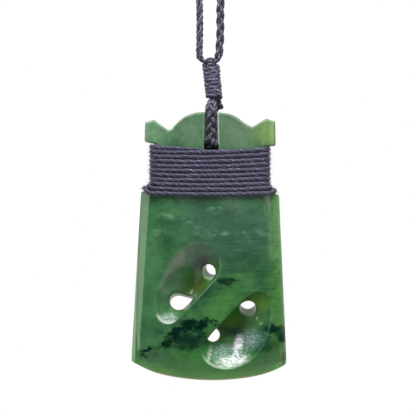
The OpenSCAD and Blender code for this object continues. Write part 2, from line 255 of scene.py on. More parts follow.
def stone_distance(x, y, z):
    """Distance to the stone's surface, below zero inside the stone."""
    ay = np.abs(y)
    f = fuse(outline_distance(stone_outline, x, z), ay - crowned_half(z), STONE_EASE)
    # Cutting edge: the faces curve in along an arc that follows the bottom
    reach = edge_reach(x, z)
    s = np.maximum(reach - THIN_FROM, 0) / THIN_RUN
    t = np.maximum(ay - EDGE_Y, 0) / THIN_RISE
    q = np.sqrt(s * s + t * t)
    curved = (q - 1) * q / (np.sqrt((s / THIN_RUN) ** 2 + (t / THIN_RISE) ** 2) + 1e-6)
    curved = np.where(q < 0.3, -1.0, curved)
    f = fuse(f, fuse(curved, reach - EDGE_R, CUT_EASE), STONE_EASE)
    worn = ramp(z, WORN_FROM, WORN_OVER)
    for bevel, ease in zip(BEVELS, BEVEL_EASE):
        f = fuse(f, bevel_distance(x, ay, z, **bevel) - WORN_BACK * worn, ease + (WORN_EASE - ease) * worn)
    # Waist: two notches leave a core with rounded corners
    cx = np.maximum(np.abs(x) - (WAIST_X - WAIST_CORNER), 0)
    cy = np.maximum(ay - (crowned_half(WAIST_Z) - WAIST_CORNER), 0)
    core = np.sqrt(cx * cx + cy * cy) - WAIST_CORNER
    notches = np.minimum(outline_distance(LEFT_WAIST, x, z), outline_distance(RIGHT_WAIST, x, z))
    f = fuse(f, -np.maximum(notches, -core), CUT_EASE)
    # Hole for the loop, and the channel from it up each face
    bore = np.sqrt((x - LOOP_X) ** 2 + (z - LOOP_HOLE_Z) ** 2) - LOOP_HOLE_R
    channel = np.sqrt((x - LOOP_X) ** 2 + (ay - CHANNEL_Y) ** 2) - CHANNEL_R
    channel = np.maximum(channel, LOOP_HOLE_Z - z)
    f = fuse(f, -np.minimum(bore, channel), CHANNEL_EASE)
    for scoop in SCOOPS:
        f = fuse(f, -scoop_distance(x, y, z, **scoop), CUT_EASE)
    for hole in HOLES:
        f = fuse(f, -hole_distance(x, y, z, **hole), HOLE_EASE)
    return f + hand_ground(x, z)


def surface_slope(field, p):
    """How a distance field changes along X, Y and Z at each point."""
    nudge = 0.02
    slope = []
    for k in range(3):
        step = np.zeros(3)
        step[k] = nudge
        slope.append((field(*(p + step).T) - field(*(p - step).T)) / (2 * nudge))
    return np.stack(slope, axis=1)


def skin_of(field, low, high, step):
    """Quads over the surface of a solid that a distance field describes, one corner per cell it crosses."""
    axes = [np.arange(low[k], high[k] + step, step) for k in range(3)]
    grids = np.meshgrid(*axes, indexing="ij", sparse=True)
    f = np.broadcast_to(field(*grids), [len(a) for a in axes])
    inside = f < 0
    cells = [n - 1 for n in f.shape]
    total = np.zeros(cells + [3])
    hits = np.zeros(cells)
    crossings = []
    for k in range(3):
        lo = [slice(None)] * 3
        hi = [slice(None)] * 3
        lo[k], hi[k] = slice(None, -1), slice(1, None)
        at = np.argwhere(inside[tuple(lo)] != inside[tuple(hi)])
        end = at + np.eye(3, dtype=int)[k]
        f0, f1 = f[tuple(at.T)], f[tuple(end.T)]
        where = np.array(low) + step * (at + (f0 / (f0 - f1))[:, None] * np.eye(3)[k])
        b, c = (k + 1) % 3, (k + 2) % 3
        corner = []
        for db, dc in ((0, 0), (-1, 0), (-1, -1), (0, -1)):
            cell = at.copy()
            cell[:, b] += db
            cell[:, c] += dc
            np.add.at(total, tuple(cell.T), where)
            np.add.at(hits, tuple(cell.T), 1)
            corner.append(cell)
        crossings.append((corner, f0 < 0))
    used = np.argwhere(hits > 0)
    number = np.zeros(cells, dtype=int)
    number[tuple(used.T)] = np.arange(len(used))
    points = total[tuple(used.T)] / hits[tuple(used.T)][:, None]
    quads = []
    for corner, leaves in crossings:
        q = np.stack([number[tuple(c.T)] for c in corner], axis=1)
        q[~leaves] = q[~leaves][:, ::-1]
        quads.append(q)
    # The corners are drawn onto the surface in four short moves
    for _ in range(4):
        g = surface_slope(field, points)
        move = -field(*points.T)[:, None] * g / (np.sum(g * g, axis=1)[:, None] + 1e-9)
        size = np.linalg.norm(move, axis=1)[:, None]
        points = points + move * np.minimum(1, 0.4 * step / (size + 1e-9))
    g = surface_slope(field, points)
    normals = g / (np.linalg.norm(g, axis=1)[:, None] + 1e-9)
    thick = inside.sum(axis=1) * step
    return points, np.concatenate(quads), normals, (axes, thick)


def spread(grid, reach):
    """The mean of a table over a square of the given reach."""
    for axis in (0, 1):
        total = 0
        for k in range(-reach, reach + 1):
            total = total + np.roll(grid, k, axis=axis)
        grid = total / (2 * reach + 1)
    return grid


def seen_through(points, axes, thick, step):
    """Thickness from front to back at each point, averaged over a millimetre each way."""
    soft = spread(thick, int(round(1.0 / step)))
    i, k = [np.clip(((points[:, n] - axes[n][0]) / step).astype(int), 0, len(axes[n]) - 1) for n in (0, 2)]
    return soft[i, k]


def close_to(distance, sharp):
    """1 on a surface and 0 away from it."""
    return np.clip(1.5 - sharp * np.abs(distance), 0, 1)


def bell(distance, width):
    return np.exp(-(distance / width) ** 2)


def stone_marks(points, thickness):
    """Where the stone is thin, carved, drilled or worn, and where light and highlights are painted on it,
    from 0 to 1 at each point of its surface.
    """
    x, y, z = points.T
    left, right = [np.abs(scoop_distance(x, y, z, **scoop)) for scoop in SCOOPS]
    scoop = np.minimum(left, right)
    hole = np.min([np.abs(hole_distance(x, y, z, **hole)) for hole in HOLES], axis=0)
    face = y + face_half(x, z)
    marks = {}
    marks["thin"] = np.clip(1 - thickness / (2 * FACE_Y), 0, 1) * np.clip(2 - scoop, 0, 1)
    # The lower slope of the right scoop and the foot of the left one keep the marks of the burr, and take
    # the painted glare of the light on them
    right_slope = close_to(right, 5) * ramp(x - 0.8 * z, 38, 3)
    left_foot = close_to(left, 5) * ramp(-z, 40.2, 0.8)
    marks["burr_and_glare"] = np.maximum(right_slope, left_foot)
    marks["satin"] = np.maximum(close_to(right, 5), marks["burr_and_glare"])
    marks["carved"] = close_to(scoop, 5)
    # Painted light goes on the walls of the holes
    marks["bore_walls_lit"] = close_to(hole, 8)
    # The rims of the scoops and the right lip of the channel get painted highlights
    marks["rim"] = bell(scoop, 0.15) * bell(face, 0.22)
    channel_lip = LOOP_X + CHANNEL_R - 0.05
    marks["lip"] = bell(x - channel_lip, 0.16) * bell(face, 0.6) * (z > LOOP_HOLE_Z - 0.5)
    # The left edge shows its outer and inner bevel, with a crease between them. The outer bevel is painted
    # pale as a highlight of the light from the left.
    inner, outer = [bevel_distance(x, np.abs(y), z, **bevel) for bevel in BEVELS[:2]]
    below = z < WAIST_FOOT
    marks["outer"] = below * close_to(outer, 8) * np.clip(0.5 + 12 * (outer - inner), 0, 1)
    marks["inner"] = below * close_to(inner, 8) * (1 - marks["outer"])
    marks["crease"] = bell(inner - outer, 0.05) * bell(np.maximum(inner, outer), 0.2)
    # More light comes through near the cutting edge and the right side, and the edge itself is pale
    from_side = line_x(*RIGHT_SIDE[:2], z) - x
    side_glow = 0.45 * np.clip(1 - from_side / 2.2, 0, 1) * ramp(z, -43, 4) * below
    marks["glow"] = np.maximum(ramp(edge_reach(x, z), 43.4, 2.4), side_glow)
    marks["edge"] = ramp(edge_reach(x, z), 45.5, 0.35)
    return marks


def new_mesh(name, points, faces):
    """A mesh from points in the stone's millimetres."""
    mesh = bpy.data.meshes.new(name)
    mesh.from_pydata(((np.array(points) + [0, 0, -DROP]) * MM).tolist(), [], faces)
    return mesh


def new_object(name, data):
    thing = bpy.data.objects.new(name, data)
    bpy.context.collection.objects.link(thing)
    return thing


def make_stone():
    step = FINE_STEP
    points, quads, normals, (axes, thick) = skin_of(stone_distance, STONE_LOW, STONE_HIGH, step)
    mesh = new_mesh("greenstone_blade", points, quads.tolist())
    mesh.update()
    mesh.shade_smooth()
    mesh.normals_split_custom_set_from_vertices(normals.tolist())
    for name, values in stone_marks(points, seen_through(points, axes, thick, step)).items():
        data = mesh.attributes.new(name, "FLOAT", "POINT")
        data.data.foreach_set("value", values.astype(np.float32))
    return new_object("greenstone_blade", mesh)


def feed(tree, n, sockets):
    """Give a node's sockets plain values or other nodes' results."""
    for name, value in sockets.items():
        if hasattr(value, "is_output"):
            tree.links.new(value, n.inputs[name])
        else:
            n.inputs[name].default_value = value


def node(tree, kind, sockets=None, **settings):
    n = tree.nodes.new("ShaderNode" + kind)
    for key, value in settings.items():
        setattr(n, key, value)
    feed(tree, n, sockets or {})
    return n


def material(name):
    m = bpy.data.materials.new(name)
    m.use_nodes = True
    return m, m.node_tree, m.node_tree.nodes["Principled BSDF"]


def rgb(*colour):
    """A colour from 0 to 255 as it looks on a screen, in the shader's own scale."""
    out = []
    for c in colour:
        c /= 255
        out.append(c / 12.92 if c < 0.0404 else ((c + 0.055) / 1.055) ** 2.4)
    return (*out, 1)


def mix(tree, factor, a, b):
    return node(tree, "Mix", {0: factor, 6: a, 7: b}, data_type="RGBA").outputs[2]


def remap(tree, value, low, high, out_low=0.0, out_high=1.0):
    sockets = {"Value": value, "From Min": low, "From Max": high, "To Min": out_low, "To Max": out_high}
    return node(tree, "MapRange", sockets, interpolation_type="SMOOTHSTEP").outputs["Result"]


def math_node(tree, operation, a, b=0.0):
    return node(tree, "Math", {0: a, 1: b}, operation=operation).outputs[0]


def times(tree, first, *others):
    for value in others:
        first = math_node(tree, "MULTIPLY", first, value)
    return first


def noise(tree, place, scale, detail, rough, stretch=(1, 1, 1)):
    """Noise of a scale, detail and roughness, at a place that is first stretched along each axis."""
    stretched = node(tree, "Mapping", {"Scale": stretch, "Vector": place}).outputs["Vector"]
    sockets = {"Vector": stretched, "Scale": scale, "Detail": detail, "Roughness": rough}
    return node(tree, "TexNoise", sockets).outputs["Fac"]


def emboss(tree, shader, height, distance, strength=1.0):
    sockets = {"Distance": distance, "Strength": strength, "Height": height}
    feed(tree, shader, {"Normal": node(tree, "Bump", sockets).outputs["Normal"]})


def attribute(tree, name):
    return node(tree, "Attribute", attribute_name=name).outputs["Fac"]


# Every oval goes this far through the stone, from front to back
THROUGH = 1000


def patch(tree, place, x, z, half_l, half_w, angle, sharp):
    """A soft oval in the stone's own millimetres: 1 in its middle and 0 outside it."""
    sockets = {"Location": (x, 0, z), "Rotation": (0, -math.radians(angle), 0),
               "Scale": (half_l, THROUGH, half_w), "Vector": place}
    oval = node(tree, "Mapping", sockets, vector_type="TEXTURE").outputs["Vector"]
    ball = node(tree, "TexGradient", {"Vector": oval}, gradient_type="SPHERICAL")
    return remap(tree, ball.outputs["Fac"], 0.0, sharp)


def tint_mark(tree, colour, name, share, tint):
    """Tint the stone where one of its marks is."""
    return mix(tree, remap(tree, attribute(tree, name), 0, 1, 0, share), colour, rgb(*tint))


def tint_ovals(tree, colour, ovals, place, sharp, *shares):
    """Lay soft ovals of colour over the stone, one after another."""
    for *oval, tint, share in ovals:
        near = patch(tree, place, *oval, sharp)
        colour = mix(tree, times(tree, near, *shares, share), colour, rgb(*tint))
    return colour


# Each oval has its X and Z, half length, half width and turn, and some go on with a colour and a share.
# The cloud over the upper middle is blue-grey. The horns, the hump, the sides and the bottom are greener.
CLOUDS_AND_LIGHT = [
    (4, -24, 17, 11, -12, (54, 90, 76), 0.85),
    (0, -3, 20, 7, 0, (86, 118, 88), 0.95),
    (12.5, -4, 6, 5, 0, (118, 150, 84), 0.9),
    (-12.5, -4, 6, 5, 0, (112, 150, 116), 0.8),
    # Painted highlight: a pale strip down the left horn's edge, where light from the left falls
    (-14.6, -5.5, 1.8, 6, 0, (150, 176, 116), 0.7),
    (2.5, -39.5, 11, 4, 47, (72, 130, 60), 0.8),
    (-12.5, -32, 4, 20, 0, (72, 124, 80), 0.65),
    # Painted light: the right side lighter, as light comes through that edge
    (14.8, -40, 4.4, 22, 0, (84, 136, 66), 0.8),
    (15, -22, 4.6, 14, 0, (108, 154, 96), 0.85),
    (1, -54.5, 27, 8, 0, (56, 126, 40), 0.9),
]
FLECKS = [
    (-3.8, -25.6, 3.0, 1.3, 15), (-4.0, -23.0, 2.6, 1.1, -15), (0.5, -24.6, 2.2, 1.1, 0),
    (2.8, -25.0, 1.4, 0.8, 0), (6.8, -25.6, 2.6, 1.1, 5), (10.4, -24.5, 1.8, 1.1, -20),
    (-8.9, -21.4, 2.4, 1.2, -20), (-11, -24.5, 1.4, 1.8, 0), (1, -20, 2, 1, 0),
]
# Black-green inclusions, each with a share and no colour of its own
INCLUSIONS = [
    (3.2, -34.6, 2.3, 0.9, -5, 0.85), (13.3, -36, 0.45, 0.35, 0, 0.9), (-8.7, -47.2, 2.2, 1.4, 50, 1),
    (-7.0, -45.5, 2.5, 1.5, 43, 1), (-4.6, -44.0, 2.7, 1.6, 28, 1), (-2.2, -43.5, 2.7, 1.3, 8, 1),
    (0, -42.9, 1.8, 0.6, 4, 0.85), (1.4, -43.7, 1.0, 0.6, 0, 0.85), (-4, -46.6, 4.8, 2.9, 18, 0.85),
    (-10.4, -48.4, 1.8, 0.7, 10, 0.7), (-13.1, -48.9, 1.9, 0.65, 10, 1), (-13.8, -50.0, 1.5, 0.5, -4, 0.9),
    (13.4, -44.6, 3.4, 1.4, -14, 0.95), (15, -46.4, 2.4, 1.0, -12, 0.9), (10.5, -47.5, 5.5, 1.8, -5, 0.5),
    (15.3, -50.6, 1.6, 1.6, 0, 0.5),
]
# In the scoops: a veil of painted reflection at the top of the left one, olive walls of painted light that
# comes through the thin stone, a dark hollow, green and teal floors
SCOOP_TINTS = [
    (-5.6, -29.2, 5.6, 2.1, 38, (112, 136, 116), 0.27),
    (-9.8, -38.2, 2.4, 5.5, 0, (104, 146, 106), 0.1),
    (-2.4, -35.7, 4.4, 1.8, 47, (88, 108, 36), 0.65),
    (4.6, -42.6, 4.6, 1.8, 47, (80, 122, 36), 0.6),
    (-1.9, -30.9, 3.2, 2.0, 35, (6, 26, 14), 0.85),
    (9.9, -39.2, 3.4, 3.2, 0, (98, 144, 60), 0.85),
    (9.4, -42.6, 4.2, 2.6, 0, (80, 126, 76), 0.65),
    (9.9, -47.0, 3.6, 3.4, 0, (38, 84, 66), 0.7),
    (5.2, -45.4, 5.2, 1.7, -12, (24, 58, 48), 0.8),
]
SCOOP_FLECKS = [(9.5, -42.5, 0.45, 0.35, 20), (10.3, -43.3, 0.4, 0.2, -30), (8.4, -42.3, 0.3, 0.25, 0)]
# Marks of the burr on both slopes, whitened partly by the burr and partly by painted glare of the light, and
# the stretches of their lips that carry a painted highlight
BURR_GLARE = [
    (2.6, -49.5, 4.6, 2.6, 0, (150, 176, 172), 0.75),
    (7.6, -47.0, 4.4, 2.8, 50, (160, 184, 186), 0.42),
    (5.8, -47.8, 2.9, 1.3, 82, (238, 232, 240), 0.95),
    (4.6, -51.1, 4.6, 1.8, 12, (236, 234, 240), 0.85),
    (-0.1, -49.4, 2.6, 0.6, 79, (236, 236, 240), 0.95),
    (-8.5, -42.4, 2.6, 1.7, 0, (214, 222, 222), 0.45),
]
LIP_HIGHLIGHTS = [(0.2, -51.6, 6, 2.2, -12), (-9.6, -43.2, 3.2, 2.4, 0)]
# The shiny middle of the burred slope
GLARE = [(5.8, -47.8, 3.2, 1.5, 82), (4.8, -51.0, 4.6, 1.9, 14)]


def stone_mm(tree):
    """Place in the stone's millimetres, with the heights counted from the top of the hump."""
    place = node(tree, "TexCoord").outputs["Object"]
    sockets = {"Location": (0, 0, DROP), "Scale": (1 / MM, 1 / MM, 1 / MM), "Vector": place}
    return node(tree, "Mapping", sockets).outputs["Vector"]


def torn_copy(tree, mm, reach):
    """The same place moved at random by up to about half the reach, for marks with torn edges."""
    wander = node(tree, "TexNoise", {"Scale": 0.8, "Detail": 5, "Roughness": 0.62, "Vector": mm})
    sockets = {0: wander.outputs["Color"], 1: (0.5, 0.5, 0.5)}
    centred = node(tree, "VectorMath", sockets, operation="SUBTRACT")
    sockets = {0: centred.outputs[0], "Scale": reach}
    scaled = node(tree, "VectorMath", sockets, operation="SCALE")
    return node(tree, "VectorMath", {0: mm, 1: scaled.outputs[0]}, operation="ADD").outputs[0]


def jade_material():
    m, tree, shader = material("greenstone")
    mm = stone_mm(tree)
    torn = torn_copy(tree, mm, 3.2)
    carved, burr_and_glare = attribute(tree, "carved"), attribute(tree, "burr_and_glare")

    # Cloudy body of the stone, mottled dark and milky, with a level grain that is strongest to the right
    body = noise(tree, mm, 0.17, 6, 0.6, (1, 1, 1.5))
    clouds = remap(tree, body, 0.34, 0.66)
    colour = mix(tree, clouds, rgb(35, 81, 47), rgb(70, 121, 74))
    colour = tint_ovals(tree, colour, CLOUDS_AND_LIGHT, torn, 0.9)
    mottle = noise(tree, mm, 0.9, 6, 0.7, (1, 1, 1.1))
    colour = mix(tree, times(tree, remap(tree, mottle, 0.42, 0.7), 0.35), colour, rgb(24, 60, 38))
    milk = noise(tree, mm, 0.55, 5, 0.65, (0.8, 1, 1.2))
    colour = mix(tree, times(tree, remap(tree, milk, 0.52, 0.78), 0.3), colour, rgb(104, 140, 112))
    grain = noise(tree, mm, 0.9, 5, 0.6, (0.22, 1, 3.2))
    grain_place = patch(tree, mm, 8, -33, 16, 18, 0, 0.8)
    colour = mix(tree, times(tree, remap(tree, grain, 0.4, 0.7), grain_place, 0.55), colour, rgb(28, 66, 42))

    # Pale flecks, and black-green inclusions torn into strings
    speckle = noise(tree, mm, 0.7, 3, 0.6, (0.7, 1, 1.4))
    flecks = [oval + ((112, 154, 122), 0.8) for oval in FLECKS]
    colour = tint_ovals(tree, colour, flecks, torn, 0.8, remap(tree, speckle, 0.4, 0.75))
    threads = noise(tree, torn, 0.55, 5, 0.75, (0.7, 1, 1.7))
    strings = remap(tree, threads, 0.37, 0.51, 0.45, 1)
    dark = 0.0
    for *oval, share in INCLUSIONS:
        near = times(tree, patch(tree, torn, *oval, 0.45), strings, share)
        dark = math_node(tree, "MAXIMUM", dark, near)
    colour = mix(tree, dark, colour, rgb(2, 32, 24))

    # Light comes through where the stone is thin
    colour = mix(tree, remap(tree, attribute(tree, "thin"), 0.25, 0.9, 0, 0.7), colour, rgb(72, 92, 30))

    # Scoops: tinted floors and walls, ragged burr marks with painted glare, lips with painted highlights and
    # fine dots of painted glint
    colour = tint_ovals(tree, colour, SCOOP_TINTS, mm, 0.9, carved)
    scoop_flecks = [oval + ((150, 182, 122), 0.8) for oval in SCOOP_FLECKS]
    colour = tint_ovals(tree, colour, scoop_flecks, torn, 0.7)
    streaks = remap(tree, noise(tree, mm, 1.6, 6, 0.8, (1, 1, 1.4)), 0.4, 0.6)
    for *oval, tint, share in BURR_GLARE:
        ragged = remap(tree, streaks, 0, 1, 0.2 * share, share)
        near = times(tree, patch(tree, mm, *oval, 0.7), burr_and_glare, ragged)
        colour = mix(tree, near, colour, rgb(*tint))
    # Painted highlights along the burred lips
    lip_highlights = math_node(tree, "MAXIMUM", *[patch(tree, mm, *oval, 0.5) for oval in LIP_HIGHLIGHTS])
    bright = times(tree, attribute(tree, "rim"), burr_and_glare, 0.85, lip_highlights)
    colour = mix(tree, bright, colour, rgb(236, 240, 240))
    # Painted glints: fine pale dots over the right scoop's lower slope
    glint_dots = noise(tree, mm, 5.5, 2, 0.6, (1, 0.5, 1))
    dots_place = patch(tree, mm, 8.8, -46.8, 4.2, 3.0, 0, 0.8)
    glint_dots = times(tree, remap(tree, glint_dots, 0.58, 0.68, 0, 0.8), dots_place, carved)
    colour = mix(tree, glint_dots, colour, rgb(205, 220, 216))

    # Bores, glow, bevels, cutting edge, crease, rims and the channel's lip, laid one over another
    # Painted light: the walls of the bores paler
    colour = tint_mark(tree, colour, "bore_walls_lit", 0.75, (150, 180, 134))
    glow = times(tree, attribute(tree, "glow"), remap(tree, clouds, 0, 1, 0.75, 1))
    colour = mix(tree, remap(tree, glow, 0, 1, 0, 0.85), colour, rgb(100, 172, 76))
    colour = tint_mark(tree, colour, "inner", 0.4, (52, 118, 48))
    # Painted highlight on the outer left bevel
    colour = tint_mark(tree, colour, "outer", 0.8, (140, 188, 130))
    colour = mix(tree, attribute(tree, "edge"), colour, rgb(164, 170, 104))
    colour = tint_mark(tree, colour, "crease", 0.6, (30, 70, 34))
    # Painted highlights on the scoops' rims and the channel's right lip
    colour = tint_mark(tree, colour, "rim", 0.22, (120, 158, 128))
    colour = tint_mark(tree, colour, "lip", 0.9, (238, 234, 218))

    feed(tree, shader, {"Base Color": colour, "Roughness": remap(tree, burr_and_glare, 0, 1, 0.12, 0.2), "IOR": 1.61,
                        "Subsurface Weight": 0.3, "Subsurface Radius": (0.35, 0.7, 0.3),
                        "Subsurface Scale": 2 * MM})
    # The right scoop is polished less than the rest, apart from the burred slope at its foot
    glare = math_node(tree, "MAXIMUM", *[patch(tree, mm, *oval, 0.9) for oval in GLARE])
    glare = times(tree, glare, remap(tree, streaks, 0, 1, 0.2, 0.9))
    dull = times(tree, attribute(tree, "satin"), remap(tree, glare, 0, 1, 0.42, -0.1))
    dull = math_node(tree, "MAXIMUM", dull, times(tree, dark, 0.35))
    feed(tree, shader, {"Specular IOR Level": remap(tree, dull, -0.5, 0.5, 1.0, 0.0)})
    pits = noise(tree, mm, 2.2, 3, 0.6)
    emboss(tree, shader, pits, 0.1 * MM, remap(tree, burr_and_glare, 0, 1, 0.02, 1.0))
    return m


stone = make_stone()
stone.data.materials.append(jade_material())
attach(stone, "root")
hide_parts("blade")


# Waist lashing: one waxed three-ply cord wound round the stone's waist, with a short start tucked under the
# first pass and ten full passes. The last two passes lie over the shoulders, and fibres stand out of it.

LASH_D = 0.9
LASH_R = LASH_D / 2
LASH_GAP = 0.08
LASH_PASSES = 10
LASH_BEND = WAIST_CORNER + LASH_R + LASH_GAP
LASH_EDGE = WAIST_X + LASH_R + LASH_GAP
# Height of the first pass and the drop to each next one, at both edges and at the two ends of the front
LEFT_PASSES = (-8, 0.925)
RIGHT_PASSES = (-7.5, 1.03)
FRONT_LEFT_PASSES = (-8.11, 0.942)
FRONT_RIGHT_PASSES = (-7.76, 0.983)
# The front's straight stretch ends this far from the middle, and sags between its ends
FRONT_END = 10.3
LASH_SAG = 0.25
# Passes over the shoulders: how far out each turns, its height and its bend
LOW_LEFT = [(12.6, -15.15, 0.9), (13.5, -15.6, 0.9)]
LOW_RIGHT = [(12.45, -15.55, 0.9), (13.3, -16.15, 0.9)]
# The tucked start grows from a thin tip to the full cord
STUB_FROM = -2
STUB_TIP = 0.3
STUB_GROWS = 5


def pass_height(i, passes):
    return passes[0] - passes[1] * (i - 1)


def lash_turn(i, low, passes):
    """How far out pass i turns at one edge of the stone, its height there and its bend."""
    upright = LASH_PASSES - len(low)
    if i > upright:
        return low[i - upright - 1]
    return LASH_EDGE, pass_height(i, passes), LASH_BEND


def lash_left(i):
    return lash_turn(i, LOW_LEFT, LEFT_PASSES)


def lash_right(i):
    return lash_turn(i, LOW_RIGHT, RIGHT_PASSES)


def lash_y(z):
    return max(crowned_half(z), crowned_half(WAIST_Z)) + LASH_R + LASH_GAP


def front_z(i, x):
    """Height of pass i on the front, which sags in the middle and wavers a little."""
    s = (x + FRONT_END) / (2 * FRONT_END)
    at_left = pass_height(i, FRONT_LEFT_PASSES)
    at_right = pass_height(i, FRONT_RIGHT_PASSES)
    wave = 0.05 * math.sin(0.55 * x + 2.3 * i) if 0 < i < LASH_PASSES else 0
    return at_left * (1 - s) + at_right * s - LASH_SAG * 4 * s * (1 - s) + wave


def stub_size(x):
    grown = min((STUB_FROM - x) / STUB_GROWS, 1)
    return STUB_TIP + (LASH_D - STUB_TIP) * grown


def stub_z(x):
    return front_z(1, x) + (LASH_D + stub_size(x)) / 2 - 0.05


def lash_corner(turn, side, face, z):
    """The route round one corner of the waist, from a face at height z to the turn's own height."""
    reach, height, bend = turn
    y = lash_y(z)
    out = []
    for a in np.radians(np.arange(0, 91, 10)):
        out.append((side * (reach - bend + bend * math.cos(a)), face * (y - bend + bend * math.sin(a)),
                    height + (z - height) * (a / (math.pi / 2)) ** 2))
    return out


def lash_path():
    path = [(x, -lash_y(stub_z(x)), stub_z(x)) for x in np.linspace(STUB_FROM, -9, 12)]
    path += lash_corner(lash_left(0), -1, -1, stub_z(-FRONT_END))[::-1]
    for i in range(1, LASH_PASSES + 1):
        before, right, after = lash_left(i - 1), lash_right(i), lash_left(i)
        path += lash_corner(before, -1, 1, before[1])
        for s in np.linspace(0.12, 0.88, 12):
            z = before[1] + (right[1] - before[1]) * s
            path.append((WAIST_X * (2 * s - 1), lash_y(z), z))
        path += lash_corner(right, 1, 1, right[1])[::-1]
        path += lash_corner(right, 1, -1, front_z(i, FRONT_END))[1:]
        for x in np.linspace(FRONT_END - 0.8, -FRONT_END + 0.8, 26):
            path.append((x, -lash_y(front_z(i, x)), front_z(i, x)))
        path += lash_corner(after, -1, -1, front_z(i, -FRONT_END))[::-1]
    # The end goes on over the last shoulder and under the pass above it
    end = lash_left(LASH_PASSES)
    path += lash_corner(end, -1, 1, end[1] - 0.25)[1:]
    path += [(x, lash_y(end[1]), end[1] - 0.5) for x in (-10.5, -9.5, -8.6)]
    return np.array(path)


def distance_run(path):
    return np.concatenate([[0], np.cumsum(np.linalg.norm(np.diff(path, axis=0), axis=1))])


def heading_of(path):
    heading = np.gradient(path, axis=0)
    return heading / np.linalg.norm(heading, axis=1)[:, None]


def even(path, step):
    """The same route with points every step along it, and the distance run at each of them."""
    runs = distance_run(path)
    at = np.linspace(0, runs[-1], max(int(runs[-1] / step), 4) + 1)
    return np.stack([np.interp(at, runs, path[:, k]) for k in range(3)], axis=1), at


def ironed(path, turns):
    """The same route with its kinks smoothed out."""
    for _ in range(turns):
        path = path.copy()
        path[1:-1] = 0.25 * path[:-2] + 0.5 * path[1:-1] + 0.25 * path[2:]
    return path


# Every cord has three plies. With the cord's radius as 1: the radius of each ply, how far it lies from the
# middle, and the height of the low dome that closes each end
PLIES = 3
PLY_R = 0.62
PLY_OUT = 0.38
END_DOME = 0.3


def twisted_cord(name, paths, up, wide, deep, pitch, sides, relief=1.0):
    """One mesh of twisted cords. Each path has its own half widths, and the plies show as lobes along it."""
    verts, faces, uvs = [], [], []
    first = 0
    for number, (path, w, d) in enumerate(zip(paths, wide, deep)):
        count = len(path)
        runs = distance_run(path)
        heading = heading_of(path)
        side = np.cross(np.broadcast_to(up, heading.shape), heading)
        side /= np.linalg.norm(side, axis=1)[:, None]
        other = np.cross(heading, side)
        theta = 2 * np.pi * np.arange(sides) / sides
        # The twist tightens and slackens a little along the cord
        twist = 2 * np.pi * runs / pitch + number + 0.7 * np.sin(0.83 * runs) + 0.5 * np.sin(0.31 * runs + 1)
        gap = (theta[None, :] - twist[:, None]) * PLIES
        lobe = np.arccos(np.clip(np.cos(gap), -1, 1)) / PLIES
        size = PLY_OUT * np.cos(lobe) + np.sqrt(PLY_R ** 2 - (PLY_OUT * np.sin(lobe)) ** 2)
        size = 1 - relief * (1 - size)
        w, d = np.broadcast_to(w, count), np.broadcast_to(d, count)
        ring = (path[:, None, :] + (size * np.cos(theta) * w[:, None])[:, :, None] * side[:, None, :]
                + (size * np.sin(theta) * d[:, None])[:, :, None] * other[:, None, :])
        verts.append(ring.reshape(-1, 3))
        i, k = np.meshgrid(np.arange(count - 1), np.arange(sides), indexing="ij")
        n = (k + 1) % sides
        quad = np.stack([i * sides + k, i * sides + n, (i + 1) * sides + n, (i + 1) * sides + k], axis=-1)
        faces += (quad.reshape(-1, 4) + first).tolist()
        # Along the fibres, and round the ply
        uv = []
        for at, corner in ((i, k), (i, k + 1), (i + 1, k + 1), (i + 1, k)):
            uv.append(np.stack([runs[at], corner / sides - twist[at] / (2 * np.pi)], axis=-1))
        uvs.append(np.stack(uv, axis=-2).reshape(-1, 2))
        # Each end is closed by a low dome
        for end in (0, 1):
            ring_start = first + end * (count - 1) * sides
            hub = first + count * sides + end
            for corner in range(sides):
                pair = [ring_start + corner, ring_start + (corner + 1) % sides]
                faces.append([hub] + (pair if end else pair[::-1]))
                uvs.append(np.zeros((3, 2)))
        verts.append(np.array([path[0] - END_DOME * w[0] * heading[0],
                               path[-1] + END_DOME * w[-1] * heading[-1]]))
        first += count * sides + 2
    mesh = new_mesh(name, np.concatenate(verts), faces)
    layer = mesh.uv_layers.new(name="fibres")
    layer.data.foreach_set("uv", np.concatenate(uvs).astype(np.float32).ravel())
    mesh.shade_smooth()
    return new_object(name, mesh)


# Heights in metres between which the loop comes up out of the shade of the stone's channel
SHADE_LOW = -0.311
SHADE_TOP = -0.3085
WAX_DARK = (30, 27, 46)


